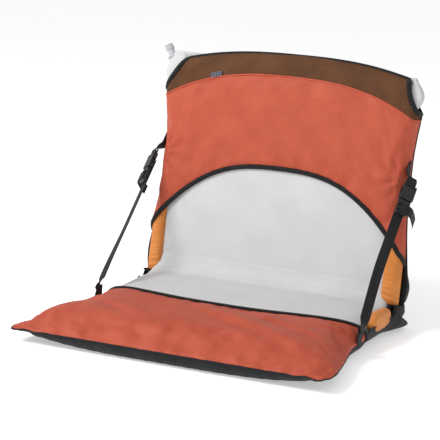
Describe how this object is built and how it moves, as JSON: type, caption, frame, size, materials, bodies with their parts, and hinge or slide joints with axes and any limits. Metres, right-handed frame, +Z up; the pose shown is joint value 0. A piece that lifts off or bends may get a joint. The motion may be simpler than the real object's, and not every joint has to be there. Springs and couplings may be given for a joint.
{
  "type": "camp chair kit",
  "caption": "Ground chair: a red and black fabric shell that folds a self-inflating sleeping pad into a seat and back, held up by buckled side straps.",
  "frame": {"origin": "on the ground, at the middle of the chair's length and width", "axes": "+X to the right as seen from the front, +Y to the rear, +Z up; the seat's front seam faces -Y"},
  "size_m": [0.612, 0.5278, 0.4935],
  "materials": {
    "shell_red": "satin",
    "shell_black": "matte",
    "binding_black": "matte",
    "lining_orange": "satin",
    "mesh_dark": "matte",
    "pad_grey": "matte",
    "pad_foam": "matte",
    "webbing_black": "matte",
    "buckle_black": "satin",
    "stay_composite": "satin",
    "valve_plastic": "satin"
  },
  "bodies": {
    "seat": {"seat_base_panel": "shell_black", "seat_pocket_panel": "shell_red", "seat_pocket_binding": "binding_black", "seat_sleeve_left": "lining_orange", "seat_sleeve_right": "lining_orange", "seat_stay_left": "stay_composite", "seat_stay_right": "stay_composite", "seat_stay_tips": "buckle_black", "mattress_skin_seat": "pad_grey", "mattress_foam_seat": "pad_foam", "strap_anchor_left": "webbing_black", "strap_anchor_right": "webbing_black"},
    "back": {"back_rear_panel": "shell_black", "back_pocket_panel": "shell_red", "arch_binding": "binding_black", "mesh_panel": "mesh_dark", "mesh_backing": "lining_orange", "top_hem_binding": "binding_black", "corner_binding_left": "binding_black", "corner_binding_right": "binding_black", "back_sleeve_left": "lining_orange", "back_sleeve_right": "lining_orange", "back_stay_left": "stay_composite", "back_stay_right": "stay_composite", "back_stay_tips": "buckle_black", "mattress_skin_back": "pad_grey", "mattress_foam_back": "pad_foam", "woven_tab": "binding_black", "buckle_anchor_left": "webbing_black", "buckle_anchor_right": "webbing_black", "valve_body": "valve_plastic"},
    "valve": {"valve_cap": "valve_plastic"},
    "left_strap": {"strap_left": "webbing_black"},
    "left_buckle": {"buckle_loop_left": "webbing_black", "buckle_female_left": "buckle_black"},
    "left_plug": {"buckle_male_left": "buckle_black", "strap_tail_left": "webbing_black"},
    "left_front_latch": {"latch_front_left": "buckle_black"},
    "left_rear_latch": {"latch_rear_left": "buckle_black"},
    "right_strap": {"strap_right": "webbing_black"},
    "right_buckle": {"buckle_loop_right": "webbing_black", "buckle_female_right": "buckle_black"},
    "right_plug": {"buckle_male_right": "buckle_black", "strap_tail_right": "webbing_black"},
    "right_front_latch": {"latch_front_right": "buckle_black"},
    "right_rear_latch": {"latch_rear_right": "buckle_black"}
  },
  "joints": [
    {"name": "back_recline", "type": "hinge", "parent": "seat", "child": "back", "pos_m": [0, 0.14812, 0.047], "axis": [-1, 0, 0], "range_deg": [-10, 25]},
    {"name": "valve_turn", "type": "hinge", "parent": "back", "child": "valve", "pos_m": [-0.256, 0.2461, 0.46704], "axis": [-0.5299, 0.1385, 0.8367], "range_deg": [0, 180]},
    {"name": "strap_swing_left", "type": "hinge", "parent": "seat", "child": "left_strap", "pos_m": [-0.266, -0.02088, 0.055], "axis": [-1, 0, 0], "range_deg": [-6.3, 15.6]},
    {"name": "buckle_swing_left", "type": "hinge", "parent": "back", "child": "left_buckle", "pos_m": [-0.266, 0.19812, 0.285], "axis": [-1, 0, 0], "range_deg": [-9.5, 3.8]},
    {"name": "buckle_release_left", "type": "slide", "parent": "left_buckle", "child": "left_plug", "axis": [0, -0.7208, -0.6932], "range_m": [0, 0.022]},
    {"name": "latch_squeeze_left_front", "type": "hinge", "parent": "left_plug", "child": "left_front_latch", "pos_m": [-0.27148, 0.17024, 0.25109], "axis": [0.682, 0.5069, -0.5272], "range_deg": [0, 3.5], "stiffness_Nm_per_rad": 0.54},
    {"name": "latch_squeeze_left_rear", "type": "hinge", "parent": "left_plug", "child": "left_rear_latch", "pos_m": [-0.26051, 0.16315, 0.25847], "axis": [-0.682, -0.5069, 0.5272], "range_deg": [0, 3.5], "stiffness_Nm_per_rad": 0.54},
    {"name": "strap_swing_right", "type": "hinge", "parent": "seat", "child": "right_strap", "pos_m": [0.266, -0.02088, 0.055], "axis": [-1, 0, 0], "range_deg": [-6.3, 15.6]},
    {"name": "buckle_swing_right", "type": "hinge", "parent": "back", "child": "right_buckle", "pos_m": [0.266, 0.19812, 0.285], "axis": [-1, 0, 0], "range_deg": [-9.5, 3.8]},
    {"name": "buckle_release_right", "type": "slide", "parent": "right_buckle", "child": "right_plug", "axis": [0, -0.7208, -0.6932], "range_m": [0, 0.022]},
    {"name": "latch_squeeze_right_front", "type": "hinge", "parent": "right_plug", "child": "right_front_latch", "pos_m": [0.27148, 0.17024, 0.25109], "axis": [0.682, -0.5069, 0.5272], "range_deg": [0, 3.5], "stiffness_Nm_per_rad": 0.54},
    {"name": "latch_squeeze_right_rear", "type": "hinge", "parent": "right_plug", "child": "right_rear_latch", "pos_m": [0.26051, 0.16315, 0.25847], "axis": [-0.682, 0.5069, -0.5272], "range_deg": [0, 3.5], "stiffness_Nm_per_rad": 0.54}
  ],
  "couplings": [
    {"joint": "strap_swing_left", "follows": "back_recline", "ratio": 0.623},
    {"joint": "buckle_swing_left", "follows": "back_recline", "ratio": -0.377},
    {"joint": "strap_swing_right", "follows": "back_recline", "ratio": 0.623},
    {"joint": "buckle_swing_right", "follows": "back_recline", "ratio": -0.377}
  ]
}
